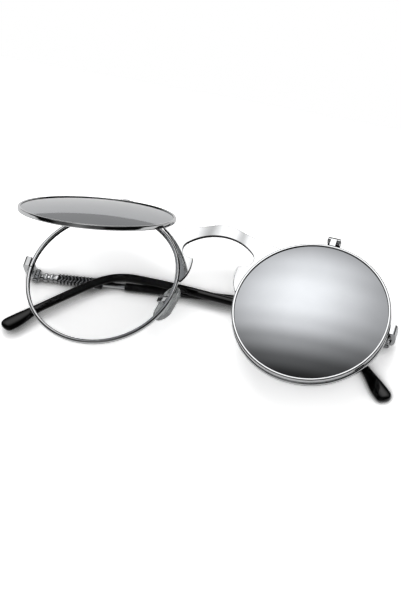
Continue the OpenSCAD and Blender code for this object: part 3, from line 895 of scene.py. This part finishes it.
def lens_mesh(place, radius, thick, dome):
    """A shallow dome of even thickness, its rim square."""
    curve = (radius**2 + dome**2) / (2 * dome)
    top = thick / 2 + dome
    bm = bmesh.new()
    levels = [radius * math.sin(math.pi / 2 * i / 40) for i in range(1, 41)]
    profile = [(r, top - thick - curve + math.sqrt(curve**2 - r**2)) for r in levels]
    profile += [(r, top - curve + math.sqrt(curve**2 - r**2)) for r in reversed(levels)]
    rings = []
    for r, z in profile:
        angles = [2 * math.pi * i / RING_STEPS for i in range(RING_STEPS)]
        rings.append([(r * math.cos(a), r * math.sin(a), z) for a in angles])
    made = loft(bm, rings, False)
    for ring, height in ((made[0], top - thick), (made[-1], top)):
        pole = bm.verts.new((0, 0, height))
        for i in range(RING_STEPS):
            bm.faces.new((ring[i], ring[(i + 1) % RING_STEPS], pole))
    return finish_mesh(bm, place, 40)


class GLASSES_OT_rims(bpy.types.Operator):
    """Builds the rims, the flip rings and the four lenses"""

    bl_idname = "glasses.rims"
    bl_label = "Rims and Lenses"

    def execute(self, context):
        rim_section = wire_section(RIM_W, RIM_T, 0.62, CLEAR_T / 2 + GROOVE_PLAY, GROOVE_DEEP)
        flip_section = wire_section(FLIP_W, FLIP_T, 0.42, MIRROR_T / 2 + GROOVE_PLAY, GROOVE_DEEP)
        split = [math.degrees(math.asin(y / RIM_R)) for y in RIM_SPLIT]
        for label, side in SIDES:
            at_rim, at_flip = front(side) @ rim_in_front(), front(side) @ flip_in_front(side)
            rim = ring_mesh(at_rim, rim_section, split)
            ring = ring_mesh(at_flip, flip_section)
            clear = lens_mesh(at_rim, RIM_R - RIM_W + LENS_SEAT, CLEAR_T, LENS_DOME)
            mirror = lens_mesh(at_flip, RIM_R - FLIP_W + LENS_SEAT, MIRROR_T, LENS_DOME)
            flip = f"flip_{label}"
            for name, mesh, body, slot, node in (
                ("wire_rim", rim, "front", "chrome", "rim"),
                ("wire_flip_ring", ring, flip, "chrome", "flip_ring"),
                ("domed_lens", clear, "front", "clear_lens", "clear_lens"),
                ("coated_lens", mirror, flip, "mirror_lens", "mirror_lens"),
            ):
                piece(f"{name}_{label}", mesh, body, finish_for(slot), slot, f"{node}_{label}")
        return {"FINISHED"}


class GLASSES_OT_bridge(bpy.types.Operator):
    """Builds the stamped bridge plate with its rounded edges"""

    bl_idname = "glasses.bridge"
    bl_label = "Bridge Plate"

    def execute(self, context):
        sizes = context.scene.glasses_sizes
        half = bridge_outline()
        outline = half + [(-x, y) for x, y in reversed(half) if x > 0.01]
        bm = bmesh.new()
        low, high = PLATE_Z - PLATE_T / 2, PLATE_Z + PLATE_T / 2
        bottom = [bm.verts.new((x, y, low)) for x, y in outline]
        top = [bm.verts.new((x, y, high)) for x, y in outline]
        bm.faces.new(top)
        bm.faces.new(list(reversed(bottom)))
        for i in range(len(outline)):
            j = (i + 1) % len(outline)
            bm.faces.new((bottom[i], bottom[j], top[j], top[i]))
        mesh = finish_mesh(bm, front(1), 30)
        mesh = baked(
            mesh,
            (
                "BEVEL",
                {
                    "width": sizes.plate_edge,
                    "segments": 4,
                    "limit_method": "ANGLE",
                    "angle_limit": math.radians(60),
                    "harden_normals": True,
                },
            ),
        )
        piece("stamped_bridge", mesh, "front", finish_for("sheet"), "chrome", "bridge_plate")
        return {"FINISHED"}


def arc(cx, cy, radius, start, end, steps):
    """Points from one angle to another, in degrees."""
    angles = [math.radians(start + (end - start) * i / steps) for i in range(steps + 1)]
    return [(cx + radius * math.cos(a), cy + radius * math.sin(a)) for a in angles]


def bridge_outline():
    """Right half of the plate, from the middle of its top edge round to the middle of the keyhole."""
    crown_r, crown, hollow_r, top = 13.0, math.radians(22), 62.0, 26.5
    crown_end = (crown_r * math.sin(crown), top - crown_r * (1 - math.cos(crown)))
    hollow = (crown_end[0] + hollow_r * math.sin(crown), crown_end[1] + hollow_r * math.cos(crown))
    keyhole_r, keyhole_y, lobe_r, lobe_y = 15.8, 22.1 - 15.8, 3.2, 12 + 3.2
    lobe_x = math.sqrt((keyhole_r - lobe_r) ** 2 - (keyhole_y - lobe_y) ** 2)
    lobe_angle = math.degrees(math.atan2(lobe_y - keyhole_y, lobe_x))
    tip_w, tip_y = 0.9, 2.8
    tip_x = RIM_SPACING / 2 - math.sqrt(RIM_R**2 - tip_y**2) - tip_w / 2
    # the plate follows the rim, which its tilt turns into an ellipse
    rim_b = RIM_R + 0.06
    rim_a = rim_b / math.cos(WRAP)
    rim_x = RIM_SPACING / 2 + PLATE_Z * math.tan(WRAP)
    along_rim = []
    for i in range(49):
        a = math.radians(54.4 + (6.4 - 54.4) * i / 48)
        along_rim.append((rim_x - rim_a * math.cos(a), rim_b * math.sin(a)))
    wing = []
    for i in range(25):
        f = i / 24
        y = 11.5 - (11.5 - tip_y) * f
        wing.append((7.65 - 0.25 * math.sin(math.pi * f) + (tip_x - tip_w / 2 - 7.65) * f**3, y))
    return (
        arc(0, top - crown_r, crown_r, 90, 90 - 22, 16)
        + arc(*hollow, hollow_r, 270 - 22 + 1, 270 - 22 + 13, 14)
        + along_rim
        + arc(tip_x, tip_y, tip_w / 2, -20, -180, 10)
        + list(reversed(wing))[1:]
        + arc(7.65 + 0.5, 11.5, 0.5, 170, 90, 6)
        + arc(lobe_x, lobe_y, lobe_r, -90, lobe_angle, 40)
        + arc(0, keyhole_y, keyhole_r, lobe_angle, 90, 28)[1:]
    )


class GLASSES_OT_temples(bpy.types.Operator):
    """Builds the hinge leaves, bars, herringbone grips and ear sleeves of both temples"""

    bl_idname = "glasses.temples"
    bl_label = "Temples"

    def execute(self, context):
        sizes = context.scene.glasses_sizes
        tree = herringbone_tree()
        for label, side in SIDES:
            body = f"temple_{label}"
            piece(
                f"ear_sleeve_{label}",
                sleeve_mesh(side, sizes.sleeve_crown),
                body,
                finish_for("sleeve"),
                "sleeve",
                f"temple_sleeve_{label}",
            )
            chrome = finish_for("chrome")
            piece(f"turned_leaf_{label}", leaf_mesh(side), body, chrome, "chrome", f"temple_leaf_{label}")
            piece(f"bare_bar_{label}", bar_mesh(side), body, chrome, "chrome", f"temple_bar_{label}")
            piece(
                f"grip_core_{label}",
                grip_core_mesh(side),
                body,
                finish_for("groove"),
                "grip",
                f"temple_braid_{label}",
            )
            piece(f"grip_strokes_{label}", self.strokes(side, tree, sizes), body, None, "grip")
        return {"FINISHED"}

    @staticmethod
    def strokes(side, tree, sizes):
        """All rows of strokes of one grip, on both broad faces."""
        pitch = sizes.stroke_pitch / MM
        proud = sizes.stroke_height / MM
        long, wide, corner = 0.98, 0.36, 0.34
        bm = bmesh.new()
        for row in (-1, 1):
            stroke = bmesh.new()
            rings = []
            for y, share in ((-long, 0.35), (-long * 0.8, 0.85), (0, 1), (long * 0.8, 0.85), (long, 0.35)):
                section = rounded_box(wide * share, BRAID_HALF_T + proud * share, corner, 3)
                rings.append([(x, y, z) for x, z in section])
            loft(stroke, rings)
            bmesh.ops.recalc_face_normals(stroke, faces=stroke.faces)
            mesh = bpy.data.meshes.new("stroke")
            stroke.to_mesh(mesh)
            stroke.free()
            mesh.shade_smooth()
            made = run_tree(
                "strokes",
                mesh,
                tree,
                {
                    "Length": BRAID_L - 0.9,
                    "Pitch": pitch,
                    "Slant": row * sizes.stroke_slant,
                    "Material": finish_for("grip"),
                },
            )
            made.transform(move(BRAID_START + 0.95, row * 0.8, 0))
            bm.from_mesh(made)
        mesh = finish_mesh(bm, temple(side), 60)
        mesh.materials.append(finish_for("grip"))
        return mesh


class GLASSES_OT_nose_pads(bpy.types.Operator):
    """Builds the silicone nose pads and the bent wires that carry them"""

    bl_idname = "glasses.nose_pads"
    bl_label = "Nose Pads"

    def execute(self, context):
        sizes = context.scene.glasses_sizes
        tree = wire_tree()
        for label, side in SIDES:
            piece(
                f"silicone_pad_{label}",
                self.pad_mesh(side, sizes.pad_edge / MM),
                f"pad_{label}",
                finish_for("silicone"),
                "silicone",
                f"nose_pad_{label}",
            )
            arm = self.arm_mesh(side, tree, sizes)
            piece(f"bent_arm_{label}", arm, "front", None, "chrome", f"pad_arm_{label}")
        return {"FINISHED"}

    @staticmethod
    def pad_mesh(side, edge):
        """A stadium shaped pad, flat behind, domed towards the nose, with a rounded rim."""
        half_l, half_w, thick, back = 7.0, 3.6, 2.0, -0.02
        steps = 72
        rings, outline = [], []
        straight = half_l - half_w
        for i in range(steps):
            a = 2 * math.pi * i / steps
            y = half_w * math.sin(a) + math.copysign(straight, math.sin(a))
            outline.append((half_w * math.cos(a), y))
        levels = [0.02, 0.2, 0.4, 0.6, 0.75, 0.86, 0.93]
        rim = [(0.975, 0.22), (0.994, 0.4), (1.0, 0.5), (0.994, 0.62), (0.975, 0.8)]

        def dome(f, y):
            return -thick + (thick - edge) * (0.75 * (y / half_l) ** 2 + 0.25 * f**2)

        for f in levels:
            rings.append([(x * f, y * f, back) for x, y in outline])
        for f, share in rim:
            rings.append([(x * f, y * f, back + share * (dome(f, y * f) - back)) for x, y in outline])
        for f in reversed(levels):
            rings.append([(x * f, y * f, dome(f, y * f)) for x, y in outline])
        bm = bmesh.new()
        loft(bm, rings)
        return finish_mesh(bm, front(side) @ pad_in_front(), 80)

    @staticmethod
    def arm_mesh(side, tree, sizes):
        """From the back of the rim, past the pad's front edge, to the back of the pad's box."""
        level = PAD_PLACE[1]
        middle = RIM_R - RIM_W / 2
        clear = 0.42
        box_back = 2.8
        root = rim_in_front() @ Vector((-math.sqrt(middle**2 - level**2), level, -RIM_T / 2 - clear))
        tip = pad_in_front() @ Vector((0, 0, box_back + clear))
        points = [
            root,
            Vector((root.x + 0.45, level, root.z - 0.3)),
            Vector((root.x + 1.0, level, root.z - 0.5)),
            tip + Vector((-0.6, 0, 0.5)),
            tip + Vector((-0.25, 0, 0.25)),
            tip,
        ]
        mesh = bpy.data.meshes.new("route")
        mesh.from_pydata(points, [(i, i + 1) for i in range(len(points) - 1)], [])
        made = run_tree(
            "wire",
            mesh,
            tree,
            {"Radius": sizes.wire_radius / MM, "Steps": sizes.wire_steps, "Material": finish_for("chrome")},
        )
        bm = bmesh.new()
        bm.from_mesh(made)
        mesh = finish_mesh(bm, front(side), 60)
        mesh.materials.append(finish_for("chrome"))
        return mesh


CONTACT_REACH = 4


def painted_contact_shadow(tree, bright):
    """Painted contact shadow: white that goes dark where something lies within a few millimetres of the
    table.
    """
    reach = {"Distance": CONTACT_REACH * MM}
    close = add(tree, "ShaderNodeAmbientOcclusion", {"samples": 12}, reach)
    return graded(tree, close.outputs["AO"], 0.02, bright, 0.45, 0.97)


# The studio's light: degrees over the far horizon, and its share of the full strength there
LIGHT_BAND = (
    (0, 0.03), (34, 0.04), (40, 0.36), (49, 0.82), (55, 1.0), (60, 0.97), (65, 0.72),
    (70, 0.33), (75, 0.1), (79, 0.02), (90, 0.02), (112, 0.09), (180, 0.12),
)
# Sideways, in degrees: how far left its middle lies, its bright core, and where its ends fade out
LIGHT_SHIFT = 9
LIGHT_CORE = 21
LIGHT_ENDS = (29, 42)
UNDER_HORIZON = 0.43

# Camera in the front's frame: place in millimetres, and its right and up directions
CAMERA_PLACE = (298.211, -602.572, 1045.420)
CAMERA_RIGHT = (0.953742, 0.278419, -0.113397)
CAMERA_UP = (-0.179446, 0.829876, 0.528304)


class GLASSES_OT_stage(bpy.types.Operator):
    """Sets the pale table, the soft studio light and the camera of the photograph"""

    bl_idname = "glasses.stage"
    bl_label = "Table, Light and Camera"

    def execute(self, context):
        self.table()
        self.studio()
        self.lamps()
        self.camera()
        return {"FINISHED"}

    @staticmethod
    def table():
        """Table top that ends not far behind the glasses; seen by the camera it runs on as white, with a
        painted contact shadow near the glasses.
        """
        mesh = bpy.data.meshes.new("table_top")
        far, near, wide = 0.078, -2.0, 1.2
        corners = [(-wide, near, 0), (wide, near, 0), (wide, far, 0), (-wide, far, 0)]
        mesh.from_pydata(corners, [], [(0, 1, 2, 3)])
        table = bpy.data.objects.new("table_top", mesh)
        bpy.context.scene.collection.objects.link(table)
        material, tree = new_material("White Table Laminate")
        grain = object_noise(tree, 0.4, 3)
        colour = bpy.context.scene.glasses_colours.table
        rays = add(tree, "ShaderNodeLightPath")
        plain = tinted(tree, grain.outputs[0], scaled_colour(colour, 0.99), colour)
        surface(
            tree,
            {"Roughness": 0.75, "Specular IOR Level": 0.1, "Emission Color": (1, 1, 1, 1)},
            {
                "Base Color": mixed(tree, rays.outputs["Is Camera Ray"], plain, painted_contact_shadow(tree, 1.7)),
                "Emission Strength": graded(tree, rays.outputs["Is Camera Ray"], 0.0, 0.1),
            },
        )
        mesh.materials.append(material)

    @staticmethod
    def studio():
        """A room with one big soft light overhead, behind the glasses, and a dark ceiling round it."""
        world = bpy.data.worlds.new("Studio")
        bpy.context.scene.world = world
        world.use_nodes = True
        tree = world.node_tree
        tree.nodes.clear()
        place = add(tree, "ShaderNodeTexCoord")
        axes = add(tree, "ShaderNodeSeparateXYZ", None, None, {0: place.outputs["Generated"]})
        lifted = calc(tree, "ARCTAN2", axes.outputs["Z"], axes.outputs["Y"])
        band = add(tree, "ShaderNodeValToRGB", None, None, {"Fac": calc(tree, "DIVIDE", lifted, math.pi)})
        ramp = band.color_ramp
        ramp.interpolation = "EASE"
        for k, (degrees, level) in enumerate(LIGHT_BAND):
            element = ramp.elements[k] if k < 2 else ramp.elements.new(degrees / 180)
            element.position = degrees / 180
            element.color = (level, level, level, 1)
        side = calc(tree, "ARCSINE", axes.outputs["X"])
        away = calc(tree, "ABSOLUTE", calc(tree, "ADD", side, math.radians(LIGHT_SHIFT)))
        fall = graded(tree, away, 2.2, 0.8, 0.0, math.radians(LIGHT_CORE), "SMOOTHSTEP")
        fading, gone = (math.radians(degrees) for degrees in LIGHT_ENDS)
        ends = graded(tree, away, 1.0, 0.04, fading, gone, "SMOOTHSTEP")
        sky = calc(tree, "MULTIPLY", calc(tree, "MULTIPLY", band.outputs[0], fall), ends)
        below = calc(tree, "LESS_THAN", axes.outputs["Z"], 0.0)
        level = add(tree, "ShaderNodeMix", None, {"B": UNDER_HORIZON}, {"Factor": below, "A": sky})
        rays = add(tree, "ShaderNodeLightPath")
        white = {"Factor": rays.outputs["Is Camera Ray"], "A": level.outputs[0]}
        shown = add(tree, "ShaderNodeMix", None, {"B": 1.0}, white)
        strength = {"Strength": shown.outputs[0]}
        background = add(tree, "ShaderNodeBackground", None, {"Color": (1, 1, 1, 1)}, strength)
        add(tree, "ShaderNodeOutputWorld", None, None, {"Surface": background.outputs[0]})

    @staticmethod
    def lamps():
        """Four soft lamps round the glasses, balanced so that no side throws a hard shadow."""
        for name, place, size, power in (
            ("soft_back", (-0.10, 0.50, 0.55), 0.7, 2.0),
            ("soft_front", (0.10, -0.65, 0.50), 0.9, 2.8),
            ("soft_left", (-0.65, -0.10, 0.40), 0.8, 2.4),
            ("soft_right", (0.65, 0.05, 0.40), 0.8, 2.4),
        ):
            light = bpy.data.lights.new(name, "AREA")
            light.size = size
            light.energy = power
            lamp = bpy.data.objects.new(name, light)
            lamp.location = place
            lamp.rotation_mode = "QUATERNION"
            lamp.rotation_quaternion = (-Vector(place)).to_track_quat("-Z", "Y")
            lamp.visible_glossy = False
            bpy.context.scene.collection.objects.link(lamp)

    @staticmethod
    def camera():
        """A long lens that looks down on the front from its lower right."""
        data = bpy.data.cameras.new("photo_camera")
        data.sensor_width = 36
        data.lens = 227.0
        data.clip_start = 0.05
        data.clip_end = 20
        cam = bpy.data.objects.new("photo_camera", data)
        bpy.context.scene.collection.objects.link(cam)
        place = front(1)
        right, up = CAMERA_RIGHT, CAMERA_UP
        back = Vector(right).cross(Vector(up))
        turned = Matrix((right, up, back)).transposed().to_4x4()
        cam.matrix_world = move(*(place @ Vector(CAMERA_PLACE) * MM)) @ place.to_3x3().to_4x4() @ turned
        bpy.context.scene.camera = cam


class GLASSES_PT_panel(bpy.types.Panel):
    bl_label = "Flip Up Glasses"
    bl_idname = "GLASSES_PT_panel"
    bl_space_type = "VIEW_3D"
    bl_region_type = "UI"
    bl_category = "Glasses"

    def draw(self, context):
        for operator in OPERATORS:
            self.layout.operator(operator.bl_idname)
        for group in (context.scene.glasses_sizes, context.scene.glasses_colours):
            box = self.layout.box()
            for name in group.__annotations__:
                box.prop(group, name)


OPERATORS = (
    GLASSES_OT_plated_metal,
    GLASSES_OT_rims,
    GLASSES_OT_bridge,
    GLASSES_OT_temples,
    GLASSES_OT_nose_pads,
    GLASSES_OT_stage,
)
CLASSES = (GlassesSizes, GlassesColours, *OPERATORS, GLASSES_PT_panel)


def register():
    for cls in CLASSES:
        bpy.utils.register_class(cls)
    bpy.types.Scene.glasses_sizes = PointerProperty(type=GlassesSizes)
    bpy.types.Scene.glasses_colours = PointerProperty(type=GlassesColours)


def unregister():
    del bpy.types.Scene.glasses_sizes
    del bpy.types.Scene.glasses_colours
    for cls in reversed(CLASSES):
        bpy.utils.unregister_class(cls)


def main():
    for start in [o for o in bpy.data.objects if o.name in ("Cube", "Light", "Camera")]:
        bpy.data.objects.remove(start)
    register()
    bpy.context.scene.view_settings.view_transform = "Standard"
    bpy.ops.glasses.plated_metal()
    bpy.ops.glasses.rims()
    bpy.ops.glasses.bridge()
    bpy.ops.glasses.temples()
    bpy.ops.glasses.nose_pads()
    bpy.ops.glasses.stage()


if __name__ == "__main__":
    main()
